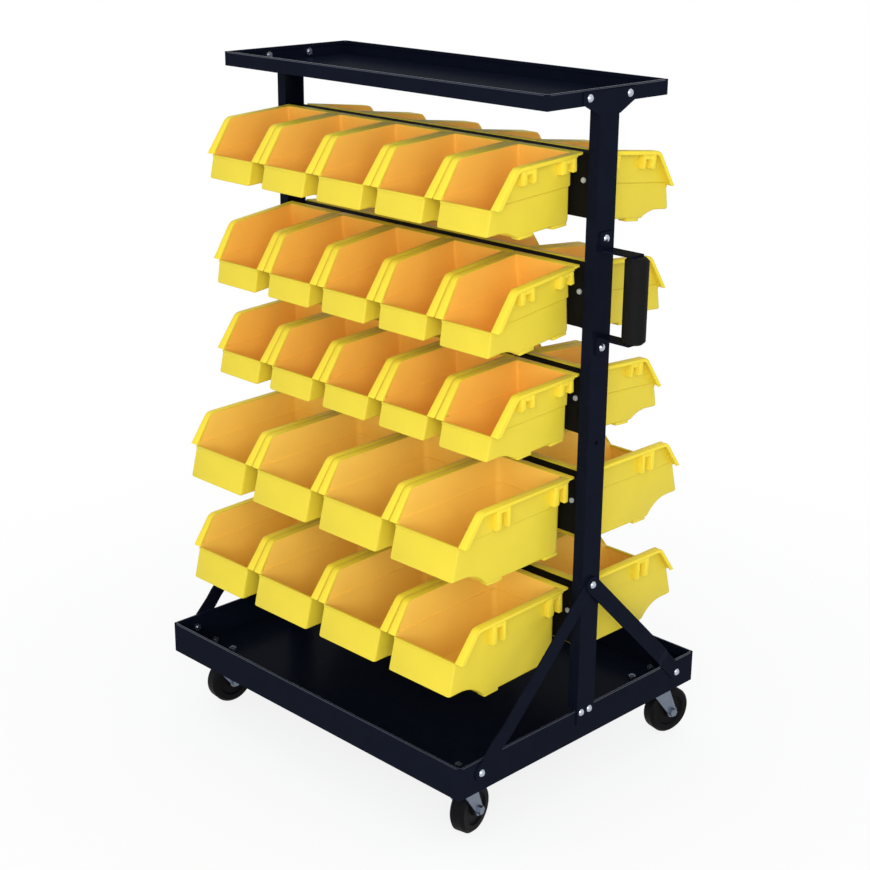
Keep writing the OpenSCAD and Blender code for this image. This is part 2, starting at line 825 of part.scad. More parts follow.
// Fork leg outline in (trail, z), with the axle at the trail
fork_behind = 17;
fork_ahead = 19;
fork_disc = 24;
eye_wall = 5;
module fork_leg() {
    eye = axle_diameter / 2 + eye_wall;
    polygon([[-fork_behind, fork_top], [fork_ahead, fork_top], [caster_trail + eye, wheel_radius],
             [caster_trail, wheel_radius - eye], [caster_trail - eye, wheel_radius]]);
    translate([caster_trail, wheel_radius]) circle(r = eye);
}

module fork(sx, sy, turn) {
    color(zinc_grey) framed()
        translate([sx * swivel_x, sy * swivel_y, 0]) rotate([0, 0, turn])
            difference() {
                union() {
                    translate([0, 0, fork_top - fork_sheet]) cylinder(r = fork_disc, h = fork_sheet);
                    translate([-fork_behind, -leg_inner - fork_sheet, fork_top - fork_sheet])
                        cube([fork_behind + fork_ahead, 2 * (leg_inner + fork_sheet), fork_sheet]);
                    both_sides() along_y(leg_inner, leg_inner + fork_sheet) fork_leg();
                }
                translate([0, 0, fork_top - fork_sheet - cut])
                    cylinder(r = king_radius + running_play, h = fork_sheet + 2 * cut);
                translate([caster_trail, 0, wheel_radius])
                    y_cylinder(axle_diameter / 2 + bolt_play, -wheel_width * 2, wheel_width * 2);
            }
}

module axle(sx, sy, turn) {
    outer = leg_inner + fork_sheet;
    color(zinc_grey) framed()
        translate([sx * swivel_x, sy * swivel_y, 0]) rotate([0, 0, turn])
            translate([caster_trail, 0, wheel_radius]) {
                y_cylinder(axle_diameter / 2, -outer - cut, outer + cut);
                translate([0, -outer, 0]) rotate([90, 0, 0])
                    cylinder(r = axle_diameter * 0.85, h = axle_diameter * 0.6, $fn = 6);
                translate([0, outer, 0]) rotate([-90, 0, 0])
                    cylinder(r = axle_diameter * 0.85, h = axle_diameter * 0.6, $fn = 6);
            }
}

hub_wall = 6;
hub_taper = 1;
wheel_dish = 3;
wheel_lip = 2;
module wheel(sx, sy, turn) {
    half = wheel_width / 2;
    bore = axle_diameter / 2 + running_play;
    hub = axle_diameter / 2 + hub_wall;
    core = wheel_radius * 0.62;
    dished = half - wheel_dish;
    color(wheel_black) framed()
        translate([sx * swivel_x, sy * swivel_y, 0]) rotate([0, 0, turn])
            translate([caster_trail, 0, wheel_radius]) rotate([90, 0, 0])
                rotate_extrude($fn = 72)
                    polygon([[bore, -hub_half], [hub, -hub_half], [hub + hub_taper, -dished],
                             [core, -dished], [core + wheel_lip, -half],
                             [wheel_radius - wheel_rounding, -half], [wheel_radius, -half + wheel_rounding],
                             [wheel_radius, half - wheel_rounding], [wheel_radius - wheel_rounding, half],
                             [core + wheel_lip, half], [core, dished],
                             [hub + hub_taper, dished], [hub, hub_half], [bore, hub_half]]);
}

// Fasteners: a bolt points along -X from its head's seat, with a nut at the end of its grip
module dome_head() {
    ball = (pow(head_diameter / 2, 2) + pow(head_height, 2)) / (2 * head_height);
    edge = asin(head_diameter / 2 / ball);
    steps = 5;
    rotate([0, 90, 0]) rotate_extrude()
        polygon(concat([[0, 0]],
                       [for (k = [steps : -1 : 0])
                            [ball * sin(edge * k / steps), head_height - ball + ball * cos(edge * k / steps)]]));
}

module frame_bolt(grip) {
    dome_head();
    x_cylinder(bolt_diameter / 2, -grip - nut_height - bolt_end, head_height / 4);
}

module hex_nut() {
    difference() {
        rotate([0, 90, 0]) cylinder(r = nut_radius, h = nut_height, $fn = 6);
        x_cylinder(bolt_diameter / 2 + bolt_play / 2, -cut, nut_height + cut);
    }
}

module one_bolt(part, seat_x, grip) {
    if (part == "bolt")
        translate([seat_x, 0, 0]) frame_bolt(grip);
    else
        translate([seat_x - grip - nut_height, 0, 0]) hex_nut();
}

// Every frame joint at the +X end: height, seat of the head and clamped thickness
module end_fasteners(part) {
    for (side = [-1, 1]) {
        translate([0, side * head_bolt_half, head_bolt_z])
            one_bolt(part, web_x, post_sheet + tray_sheet);
        translate([0, side * foot_bolt_half, foot_bolt_z])
            one_bolt(part, web_x, post_sheet + 2 * tray_sheet);
        translate([0, side * brace_bolt_y, brace_bolt_z])
            one_bolt(part, end_x + brace_sheet, brace_sheet + tray_sheet);
    }
    translate([0, 0, brace_top_z])
        one_bolt(part, web_x + brace_stack, post_sheet + brace_stack);
}

module handle_fasteners(part) {
    for (side = [-1, 1])
        translate([0, 0, handle_z + side * (handle_height / 2 + tab_bolt_rise)])
            one_bolt(part, web_x + strip_thick, post_sheet + strip_thick);
}

module frame_bolts() {
    color(zinc_grey) framed() {
        both_ends() end_fasteners("bolt");
        handle_fasteners("bolt");
    }
}

module frame_nuts() {
    color(zinc_grey) framed() {
        both_ends() end_fasteners("nut");
        handle_fasteners("nut");
    }
}

caster_head = 3.2;
module caster_bolts() {
    color(zinc_grey) framed() caster_holes() {
        translate([0, 0, plate_z - caster_head])
            cylinder(r = nut_radius * 0.9, h = caster_head, $fn = 6);
        translate([0, 0, plate_z - caster_head / 4])
            cylinder(r = bolt_diameter / 2, h = caster_head / 4 + plate_thick + tray_sheet + nut_height + bolt_end);
    }
}

module caster_nuts() {
    color(zinc_grey) framed() caster_holes()
        translate([0, 0, caster_height + tray_sheet])
            difference() {
                cylinder(r = nut_radius, h = nut_height, $fn = 6);
                translate([0, 0, -cut])
                    cylinder(r = bolt_diameter / 2 + bolt_play / 2, h = nut_height + 2 * cut);
            }
}

base_tray();
top_tray();
left_post();
right_post();
post_plates();
for (row = [1 : 5])
    rail(row);
rail_brackets();
braces();
handle_bracket();
handle_grip();
caster_plates();
fork(-1, -1, front_left_turn);  // front_left_fork
fork(1, -1, front_right_turn);  // front_right_fork
fork(-1, 1, rear_left_turn);  // rear_left_fork
fork(1, 1, rear_right_turn);  // rear_right_fork
axle(-1, -1, front_left_turn);  // front_left_axle
axle(1, -1, front_right_turn);  // front_right_axle
axle(-1, 1, rear_left_turn);  // rear_left_axle
axle(1, 1, rear_right_turn);  // rear_right_axle
wheel(-1, -1, front_left_turn);  // front_left_wheel
wheel(1, -1, front_right_turn);  // front_right_wheel
wheel(-1, 1, rear_left_turn);  // rear_left_wheel
wheel(1, 1, rear_right_turn);  // rear_right_wheel
frame_bolts();
frame_nuts();
rail_screws();
caster_bolts();
caster_nuts();
for (row = [1 : 5], i = [1 : count_of(row)])
    front_bin(row, i);
for (row = [1 : 5])
    rear_bins(row);
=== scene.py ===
# %% [markdown]
# # A storage bin trolley
# This lesson dresses the solids of a double-sided bin trolley. The steel
# frame keeps its own solids and gets soft edges and paint. The yellow bins
# are modelled again here, because a moulded bin has rounded corners, a
# turned-down rim and small staples that plain solids only hint at.

# %% Load the frame
import bpy
import bmesh
import json
import math
from mathutils import Matrix, Vector


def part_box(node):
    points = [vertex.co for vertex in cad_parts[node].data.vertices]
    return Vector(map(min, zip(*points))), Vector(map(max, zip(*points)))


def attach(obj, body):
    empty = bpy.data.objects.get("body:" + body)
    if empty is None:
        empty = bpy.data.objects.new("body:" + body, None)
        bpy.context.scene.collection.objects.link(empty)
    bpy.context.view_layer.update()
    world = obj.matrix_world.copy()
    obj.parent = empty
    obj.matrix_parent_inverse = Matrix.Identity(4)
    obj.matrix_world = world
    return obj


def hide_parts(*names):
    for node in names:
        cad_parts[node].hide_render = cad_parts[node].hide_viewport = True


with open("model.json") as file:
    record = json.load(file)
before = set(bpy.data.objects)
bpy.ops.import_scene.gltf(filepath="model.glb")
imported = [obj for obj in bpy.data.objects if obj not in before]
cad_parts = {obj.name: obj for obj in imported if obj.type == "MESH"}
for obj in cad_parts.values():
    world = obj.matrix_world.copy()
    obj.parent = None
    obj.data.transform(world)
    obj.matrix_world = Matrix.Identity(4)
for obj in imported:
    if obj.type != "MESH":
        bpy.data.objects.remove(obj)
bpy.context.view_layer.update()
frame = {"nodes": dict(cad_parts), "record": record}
nodes = frame["nodes"]
MM = 0.001

# %% [markdown]
# ## Where the rails and rims are
# The bins hang on the rails, so every place is read from the solids. A
# rail's top lies 1 mm under the bin rims, and its middle gives the trolley's
# middle. Typed places would go wrong as soon as a size of the part changes.

# %% Read the rails
RIM_ABOVE_RAIL = 1.0
RAIL_HALF = 9.0
rail_boxes = {row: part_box(f"rail_{row}") for row in range(1, 6)}
rim_height = {row: box[1][2] / MM + RIM_ABOVE_RAIL for row, box in rail_boxes.items()}
middle_x = (rail_boxes[1][0][0] + rail_boxes[1][1][0]) / 2 / MM
middle_y = (rail_boxes[1][0][1] + rail_boxes[1][1][1]) / 2 / MM
print("rim heights", {row: round(z, 1) for row, z in rim_height.items()})
print("trolley's middle", round(middle_x, 1), round(middle_y, 1))

# %% [markdown]
# ## Paint, plastic, zinc and rubber
# Every surface gets a small node material. A flat colour would look like
# paper, because no real coat or moulding is quite even. So a coarse noise
# varies the colour and the roughness a little, and a second, finer noise
# feeds a bump node: the orange peel of powder coat, or the grain of a mould.

# %% Uneven colour and roughness
NOISE_DETAIL = 3.0
NOISE_LOW, NOISE_HIGH = 0.3, 0.7
ROUGH_SPREAD = 0.15


def uneven_tone(tree, place, colour, vary, rough, scale):
    shader = tree.nodes["Principled BSDF"]
    noise = tree.nodes.new("ShaderNodeTexNoise")
    noise.inputs["Scale"].default_value = scale
    noise.inputs["Detail"].default_value = NOISE_DETAIL
    tree.links.new(place.outputs["Object"], noise.inputs["Vector"])
    ramp = tree.nodes.new("ShaderNodeValToRGB")
    dark, light = ramp.color_ramp.elements
    dark.position, light.position = NOISE_LOW, NOISE_HIGH
    dark.color = [c * (1 - vary) for c in colour] + [1]
    light.color = [min(1, c * (1 + vary)) for c in colour] + [1]
    tree.links.new(noise.outputs["Fac"], ramp.inputs["Fac"])
    tree.links.new(ramp.outputs["Color"], shader.inputs["Base Color"])
    spread = tree.nodes.new("ShaderNodeMapRange")
    spread.inputs["To Min"].default_value = rough * (1 - ROUGH_SPREAD)
    spread.inputs["To Max"].default_value = rough * (1 + ROUGH_SPREAD)
    tree.links.new(noise.outputs["Fac"], spread.inputs["Value"])
    tree.links.new(spread.outputs["Result"], shader.inputs["Roughness"])


# %% A fine relief
RELIEF_DEPTH = 0.0005


def fine_relief(tree, place, strength, scale):
    grain = tree.nodes.new("ShaderNodeTexNoise")
    grain.inputs["Scale"].default_value = scale
    tree.links.new(place.outputs["Object"], grain.inputs["Vector"])
    relief = tree.nodes.new("ShaderNodeBump")
    relief.inputs["Strength"].default_value = strength
    relief.inputs["Distance"].default_value = RELIEF_DEPTH
    tree.links.new(grain.outputs["Fac"], relief.inputs["Height"])
    tree.links.new(relief.outputs["Normal"], tree.nodes["Principled BSDF"].inputs["Normal"])


# %% A helper for node materials
COAT_ROUGH = 0.22


def material(name, colour, rough, metal=0.0, shine=0.5, coat=0.0,
             vary=0.08, scale=40.0, bump=0.02, bump_scale=600.0):
    mat = bpy.data.materials.new(name)
    mat.use_nodes = True
    tree = mat.node_tree
    shader = tree.nodes["Principled BSDF"]
    shader.inputs["Metallic"].default_value = metal
    shader.inputs["Specular IOR Level"].default_value = shine
    shader.inputs["Coat Weight"].default_value = coat
    shader.inputs["Coat Roughness"].default_value = COAT_ROUGH
    place = tree.nodes.new("ShaderNodeTexCoord")
    uneven_tone(tree, place, colour, vary, rough, scale)
    fine_relief(tree, place, bump, bump_scale)
    return mat


# %% [markdown]
# ## The finishes
# The bins are one plastic, but their insides look deeper, because light
# bounces from wall to wall there. A renderer shows part of that by itself,
# and a deeper orange painted on the inner skin does the rest, as painted
# bounce light. The enamel has almost no mirror of its own, only a thin coat,
# so that it stays black in a white room. The folded tray rims get a full
# coat, which draws bright lines.

# %% The plastics
def plastic(name, colour, shine):
    return material(name, colour, rough=0.45, shine=shine, vary=0.03, scale=14.0, bump=0.03)


bin_plastic = plastic("bin_plastic", (0.735, 0.580, 0.041), 0.2)
# The rims, staples and hook get a lighter, warmer copy of the same plastic: painted light for the light that
# their upper faces catch.
bin_rim_painted_light = plastic("bin_rim_painted_light", (0.86, 0.67, 0.05), 0.08)
# The inner skins are a deeper orange than the outside, lighter in the large bins: painted bounce light, not a
# second plastic.
small_inside_painted_bounce = plastic("small_inside_painted_bounce", (0.97, 0.53, 0.085), 0.1)
large_inside_painted_bounce = plastic("large_inside_painted_bounce", (0.99, 0.63, 0.11), 0.1)
print("plastics", [mat.name for mat in (bin_plastic, bin_rim_painted_light, small_inside_painted_bounce, large_inside_painted_bounce)])


# %% The enamels, metals and rubbers
def enamel(name, colour, coat):
    return material(name, colour, rough=0.5, shine=0.0, coat=coat, bump=0.05, bump_scale=900.0)


black_enamel = enamel("black_enamel", (0.0044, 0.0062, 0.0135), 0.055)
# The rails' black is tinted warm olive with a thinner coat: a painted reflection of the yellow bins on the
# same enamel as the frame.
rail_enamel_painted_reflection = enamel("rail_enamel_painted_reflection", (0.0090, 0.0080, 0.0055), 0.03)
edge_enamel = enamel("edge_enamel", (0.008, 0.014, 0.034), 1.0)
zinc = material("zinc", (0.46, 0.50, 0.57), rough=0.32, metal=1.0, scale=150.0)
# The rail screws get a lighter, half-metal copy of the zinc: a painted glint, so that screws in shade still
# show bright.
screw_zinc_painted_glint = material("screw_zinc_painted_glint", (0.58, 0.60, 0.64), rough=0.4, metal=0.5, scale=150.0)
dull_steel = material("dull_steel", (0.17, 0.20, 0.25), rough=0.42, metal=1.0, scale=150.0)
wheel_rubber = material("wheel_rubber", (0.0035, 0.0035, 0.0042), rough=0.55,
                        shine=0.06, bump=0.12, bump_scale=1500.0)
grip_rubber = material("grip_rubber", (0.007, 0.007, 0.007), rough=0.6,
                       shine=0.05, bump=0.15, bump_scale=1200.0)
PAINTS = {"black_enamel": black_enamel, "zinc": zinc,
          "wheel_rubber": wheel_rubber, "grip_rubber": grip_rubber}
print("paints", sorted(PAINTS))

# %% [markdown]
# ## Soft edges on the steel
# Folded and punched sheet never has a razor edge. The edges could be rounded
# one by one, but a bevel modifier takes every edge that turns by more than
# 30 degrees, so each of them catches a thin highlight. The solids stay as
# they are below the modifier.

# %% Which finish a piece gets
slot_of = {part["node"]: part["material_slot"] for part in frame["record"]["subparts"]}
rail_nodes = [f"rail_{row}" for row in rail_boxes]


def finish_of(name):
    # Rails take the warm-tinted enamel with its painted reflection.
    if name in rail_nodes:
        return rail_enamel_painted_reflection
    # Rail screws take the lighter zinc with its painted glint.
    if name == "rail_screws":
        return screw_zinc_painted_glint
    if name.startswith("caster_") or name.endswith(("_fork", "_axle")):
        return dull_steel
    return PAINTS[slot_of[name]]


print("finish of the right post", finish_of("right_post").name)

# %% Dress the solids
EDGE_MM = {"base_tray": 0.6, "top_tray": 0.6, "handle_grip": 1.5}
DEFAULT_EDGE_MM = 0.4
SHARP_TURN = math.radians(30)
dressed = {name: obj for name, obj in nodes.items() if "bin" not in name}
for name, obj in dressed.items():
    obj.data.materials.clear()
    obj.data.materials.append(finish_of(name))
    bevel = obj.modifiers.new("soft edges", "BEVEL")
    bevel.width = EDGE_MM.get(name, DEFAULT_EDGE_MM) * MM
    bevel.segments = 2
    bevel.limit_method = "ANGLE"
    bevel.angle_limit = SHARP_TURN
    bevel.use_clamp_overlap = False
    bevel.harden_normals = True
print("dressed", len(dressed))

# %% [markdown]
# ## Rolled tray rims
# The trays' walls end in a folded hem. The fold is round, and on the real
# trolley it draws a thin bright line along each tray. A wider bevel would
# round the whole hem, so a curve with a round section runs along it instead
# and stands out by a fraction of a millimetre.

# %% Run a round fold along each tray
FOLD_RADIUS, CORNER_RADIUS = 1.6, 5.0
FOLD_OUT, FOLD_UP = 0.2, 0.3
CORNER_STEPS = 4


def fold_points(low, high):
    inset = (FOLD_RADIUS + CORNER_RADIUS - FOLD_OUT) * MM
    x0, y0, x1, y1 = low[0] + inset, low[1] + inset, high[0] - inset, high[1] - inset
    points = []
    for turn, (x, y) in enumerate(((x1, y1), (x0, y1), (x0, y0), (x1, y0))):
        for step in range(CORNER_STEPS + 1):
            a = math.radians(90 * (turn + step / CORNER_STEPS))
            points.append((x + CORNER_RADIUS * MM * math.cos(a), y + CORNER_RADIUS * MM * math.sin(a)))
    return points


def fold(node):
    low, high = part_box(node)
    curve = bpy.data.curves.new(f"{node}_fold", "CURVE")
    curve.dimensions = "3D"
    curve.bevel_depth = FOLD_RADIUS * MM
    curve.bevel_resolution = 3
    points = fold_points(low, high)
    line = curve.splines.new("POLY")
    line.points.add(len(points) - 1)
    for point, (x, y) in zip(line.points, points):
        point.co = (x, y, high[2] + (FOLD_UP - FOLD_RADIUS) * MM, 1)
    line.use_cyclic_u = True
    curve.materials.append(edge_enamel)
    obj = bpy.data.objects.new(f"{node}_fold", curve)
    bpy.context.collection.objects.link(obj)
    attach(obj, "frame")
    return obj


folds = [fold(node) for node in ("base_tray", "top_tray")]
print("folds", [obj.name for obj in folds])

# %% [markdown]
# ## A moulded bin
# On the real trolley each bin is one injection moulding: a thin tub with a
# crease part way up, an arched underside at the front, a flat rim that runs
# down the sloped sides, and a lip at the back that hooks over a louvre. A
# box with a bevel would lose the arch and the crease, so the tub is lofted:
# a U-shaped slice is repeated from the back wall to the front wall. In a
# bin's own frame, y runs from the rail to the front and z = 0 is the rim.

# %% The two bin sizes, in millimetres
SMALL = dict(width=118.5, reach=178.5, height=99, front_top=49.5, front_foot=83.5,
             lean=10.5, run=40, rib=21, corner=6)
LARGE = dict(width=148.5, reach=237, height=120, front_top=45, front_foot=93,
             lean=14.5, run=33, rib=32, corner=11)
WALL, DRAFT = 2.2, 1.2
STEP, RISE = 1.6, 5.0
RIM_WIDTH, RIM_THICK = 10.0, 3.4
TIP_OVERHANG, TIP_RISE = 1.0, 0.8
ARCH_RADIUS, ARCH_FLAT, FOOT_HEIGHT = 60.0, 23.0, 4.0
BIN_BACK = 12.6


def bin_sizes(b):
    s = dict(b)
    s["crease"] = -(b["front_top"] - RISE)
    s["half_top"] = b["width"] / 2 - RIM_WIDTH
    s["half_low"] = s["half_top"] - DRAFT - STEP
    s["front"] = b["reach"] - b["lean"]
    s["tip"] = (s["front"] + TIP_OVERHANG, -b["front_top"] + TIP_RISE)
    s["slope"] = s["tip"][0] - b["run"]
    s["floor"] = -b["height"] + FOOT_HEIGHT
    s["arch"] = b["reach"] - ARCH_FLAT
    s["arch_half"] = math.sqrt(ARCH_RADIUS ** 2 - (ARCH_RADIUS - b["height"] + b["front_foot"]) ** 2)
    return s


def slope_at(s, z, inset):
    drop = -s["tip"][1]
    length = math.hypot(s["run"], drop)
    return s["slope"] + (s["run"] * -z - inset * length) / drop


print("small bin's crease", bin_sizes(SMALL)["crease"], "large", bin_sizes(LARGE)["crease"])

# %% [markdown]
# ## Slices of the tub
# Each slice knows its place along the bin, how far it is drawn in to round
# the upright corners, and where the floor is: flat at the back, then up the
# arch, then flat again under the front lip. Slices stand close together only
# where the shape bends, which keeps the mesh light.

# %% Where the slices stand
FRONT_CORNER, LEAST_CORNER = 2.2, 0.8
ARC_STEPS, ARCH_STEPS = 4, 8
MIDDLE_SHARE = 0.4


def floor_at(s, y, t):
    if y >= s["arch"]:
        return -s["front_foot"] + t
    flat = s["floor"] + t
    across = (ARCH_RADIUS + t) ** 2 - (y - s["arch"]) ** 2
    if across <= 0:
        return flat
    return max(flat, -s["front_foot"] - ARCH_RADIUS + math.sqrt(across))


def stations(s, t):
    back, front = BIN_BACK + DRAFT + STEP + t, s["front"] - t
    r, f = s["corner"] - t, max(FRONT_CORNER - t, LEAST_CORNER)
    turns = [math.radians(90 * k / ARC_STEPS) for k in range(ARC_STEPS + 1)]
    places = [(back + r * (1 - math.cos(a)), r * (1 - math.sin(a)), "back") for a in turns]
    reach = math.sqrt((ARCH_RADIUS + t) ** 2 - (ARCH_RADIUS + s["floor"] + s["front_foot"]) ** 2)
    first = s["arch"] - reach
    places.append(((1 - MIDDLE_SHARE) * back + MIDDLE_SHARE * first, 0, "side"))
    for k in range(ARCH_STEPS + 1):
        places.append((first + reach * math.sin(math.radians(90 * k / ARCH_STEPS)), 0, "side"))
    places += [(front - f * (1 - math.cos(a)), f * (1 - math.sin(a)), "front") for a in reversed(turns)]
    return places


print("slices of a small bin", len(stations(bin_sizes(SMALL), 0)))

# %% [markdown]
# ## The tub below and above its crease
# Below the crease the walls step in and lean, and the slices carry them
# round the bottom. Above it the walls follow the sloped sides, so they are
# rings instead, from the rim down to the crease. A fine groove runs under
# the crease: a crease only shows when its edge throws a small shadow.

# %% Slices below the crease
BOTTOM_ROUND, BOTTOM_STEPS = 2.9, 3
GROOVE_HEIGHT = 1.2


def low_slices(s, t, groove, places, points):
    crease = s["crease"]
    first, last = places[0][0], places[-1][0]
    rounding = BOTTOM_ROUND - t

    def half(z):
        return s["half_low"] - t - DRAFT * (crease - z) / (crease + s["height"])

    slices = []
    for k, (y, inset, part) in enumerate(places):
        share = (y - first) / (last - first)
        ahead = max(0.0, (y - s["arch"]) / (last - s["arch"]))
        floor = floor_at(s, y, t) + inset
        top = crease
        if part == "front":
            top = crease - RISE * (1 - (len(places) - 1 - k) / ARC_STEPS)

        def place(x, z):
            lean_back = DRAFT * (crease - z) / (crease - s["floor"])
            lean_front = s["lean"] * (-s["front_top"] - z) / (s["front_foot"] - s["front_top"])
            points.append((x, y + (1 - share) * lean_back + ahead * lean_front, z))
            return len(points) - 1

        under = top - GROOVE_HEIGHT
        left = [place(-(half(top) - inset - groove), top),
                place(-(half(under) - inset - groove), under),
                place(-(half(under) - inset), under)]
        for step in range(BOTTOM_STEPS + 1):
            a = math.radians(90 * step / BOTTOM_STEPS)
            z = floor + rounding * (1 - math.sin(a))
            left.append(place(-(half(z) - inset - rounding * (1 - math.cos(a))), z))
        right = [place(-points[i][0], points[i][2]) for i in reversed(left)]
        slices.append(left + right)
    return slices


# %% Rings above the crease
WALL_TOP = -1.0


def high_rings(s, t, places, points):
    crease = s["crease"]
    edge = [p for p in places if p[2] != "front"]
    straight = places[ARC_STEPS][0]
    rings = []
    for z, half_width, back in ((WALL_TOP, s["half_top"] - t, BIN_BACK + t),
                                (crease, s["half_top"] - DRAFT - t, BIN_BACK + DRAFT + t)):
        shift = back - places[0][0]
        stretch = (slope_at(s, z, RIM_THICK / 2) - shift - straight) / (edge[-1][0] - straight)
        sides = {-1: [], 1: []}
        for y, inset, part in edge:
            if part == "side":
                y = straight + (y - straight) * stretch
            for side in (-1, 1):
                points.append((side * (half_width - inset), y + shift, z))
                sides[side].append(len(points) - 1)
        rings.append(list(reversed(sides[-1])) + sides[1])
    return rings


# %% Loft the tub
def strips(rows):
    return [(a[k], a[k + 1], b[k + 1], b[k]) for a, b in zip(rows, rows[1:]) for k in range(len(a) - 1)]


def tub(s, t, groove):
    points = []
    places = stations(s, t)
    slices = low_slices(s, t, groove, places, points)
    faces = strips(slices) + [tuple(slices[0]), tuple(reversed(slices[-1]))]
    rings = high_rings(s, t, places, points)
    edge = slices[:len(rings[0]) // 2]
    rings.append([row[0] for row in reversed(edge)] + [row[-1] for row in edge])
    return points, faces + strips(rings)


print("points of a small tub", len(tub(bin_sizes(SMALL), 0, 0)[0]))

# %% [markdown]
# ## Outside and inside
# The tub is lofted twice, once set in by the wall's thickness, and the two
# skins are joined along their open edges. A solidify modifier would do the
# same in one step, but it would set in the groove and the rounded corners
# unevenly, and here the inner skin has a tone of its own, a deeper orange
# that paints the bounced light.

# %% Join the two skins
# INSIDE is the slot of the inner tone, which carries the painted bounce light.
# RIM is the slot of the lighter rim tone, which is painted light.
OUTSIDE, INSIDE, RIM = 0, 1, 2
GROOVE_OUTSIDE, GROOVE_INSIDE = 0.6, -0.3


def add_shell(bm, s):
    outer, faces = tub(s, 0, GROOVE_OUTSIDE)
    inner, _ = tub(s, WALL, GROOVE_INSIDE)
    out = [bm.verts.new(Vector(p) * MM) for p in outer]
    into = [bm.verts.new(Vector(p) * MM) for p in inner]
    made = [bm.faces.new([out[k] for k in f]) for f in faces]
    lining = [bm.faces.new([into[k] for k in reversed(f)]) for f in faces]
    # The inner skin takes the inside tone, with its painted bounce light.
    for f in lining:
        f.material_index = INSIDE
    made += lining
    bm.verts.index_update()
    open_edges = [e for e in bm.edges if len(e.link_faces) == 1 and e.verts[0].index < len(out)]
    for e in open_edges:
        a, b = e.verts
        made.append(bm.faces.new((a, b, into[b.index], into[a.index])))
    bmesh.ops.recalc_face_normals(bm, faces=made)


# %% [markdown]
# ## The rim
# The rim is a flange with its outer edge turned down, and its path bends
# smoothly where the sloped side starts. It is a prism: one section repeated
# along the path, with softened edges. The staples, the hook and the feet
# are made with the same helper, and all of them run into the tub.

# %% Prisms with soft edges
SOFT_TURN = math.radians(28)
RUN_IN = 1.0


def add_prism(bm, rings, soft, tone=RIM):
    made = [[bm.verts.new(Vector(p) * MM) for p in ring] for ring in rings]
    faces = [bm.faces.new(made[0]), bm.faces.new(list(reversed(made[-1])))]
    for a, b in zip(made, made[1:]):
        n = len(a)
        faces += [bm.faces.new((a[k], a[(k + 1) % n], b[(k + 1) % n], b[k])) for k in range(n)]
    # Prisms take the rim tone by default, the lighter copy with painted light.
    for f in faces:
        f.material_index = tone
    bmesh.ops.recalc_face_normals(bm, faces=faces)
    edges = dict.fromkeys(e for f in faces for e in f.edges if e.calc_face_angle(0) > SOFT_TURN)
    bmesh.ops.bevel(bm, geom=list(edges), offset=soft * MM, offset_type="OFFSET", segments=2,
                    profile=0.5, affect="EDGES", clamp_overlap=True)


def add_block(bm, low, high, soft, tone=RIM):
    (x0, y0, z0), (x1, y1, z1) = low, high
    add_prism(bm, [[(x, y0, z0), (x, y1, z0), (x, y1, z1), (x, y0, z1)] for x in (x0, x1)], soft, tone)


# %% The side rims
RIM_LIP, LIP_WIDTH, RIM_SOFT = 6.0, 3.0, 1.0
BEND_RADIUS, BEND_STEPS = 16.0, 5
RIM_START = BIN_BACK + WALL - RUN_IN


def rim_path(s):
    turn = math.atan2(-s["tip"][1], s["run"])
    setback = BEND_RADIUS * math.tan(turn / 2)
    path = [(RIM_START, 0.0, 0.0)]
    for k in range(BEND_STEPS + 1):
        a = turn * k / BEND_STEPS
        path.append((s["slope"] - setback + BEND_RADIUS * math.sin(a), -BEND_RADIUS * (1 - math.cos(a)), a))
    path.append((*s["tip"], turn))
    return path


def add_side_rim(bm, s, side):
    rings = []
    outer = s["width"] / 2
    for y, z, a in rim_path(s):
        below = z < s["crease"]
        inner = s["half_top"] - DRAFT * max(z, s["crease"]) / s["crease"] - WALL - (STEP if below else 0)
        flange, lip = [(y - d * math.sin(a), z - d * math.cos(a)) for d in (RIM_THICK, RIM_LIP)]
        if (y, z) == s["tip"]:
            flange, lip = [(slope_at(s, z, d), z) for d in (RIM_THICK, RIM_LIP)]
        rings.append([(side * inner, y, z), (side * outer, y, z), (side * outer, *lip),
                      (side * (outer - LIP_WIDTH), *lip), (side * (outer - LIP_WIDTH), *flange),
                      (side * inner, *flange)])
    add_prism(bm, rings, RIM_SOFT)


print("points along a small rim", len(rim_path(bin_sizes(SMALL))))

# %% [markdown]
# ## Staples, hook and feet
# Under each rim stand two staples, pairs of prongs joined at the top, that
# guide a stacked bin. The hook's lip hangs behind the louvre, a bead stiffens
# the front lip, and four low feet carry the bin on a bench. All of them are
# simple enough for prisms and blocks.

# %% Staples
HOOK_BACK, HOOK_THICK = 3.1, 4.0
NARROW_PRONG, WIDE_PRONG, STAPLE_LENGTH = 6.4, 9.5, 28.0
STAPLE_TOP, PRONG_DROP, PRONG_TAPER = -2.0, 2.0, 1.0
STAPLE_INTO_WALL, STAPLE_SETBACK, STAPLE_SOFT = 1.6, 1.0, 0.5
BRIDGE_FROM, BRIDGE_TO, BRIDGE_LOW, BRIDGE_SETBACK = 1.0, 21.0, -12.0, 0.8


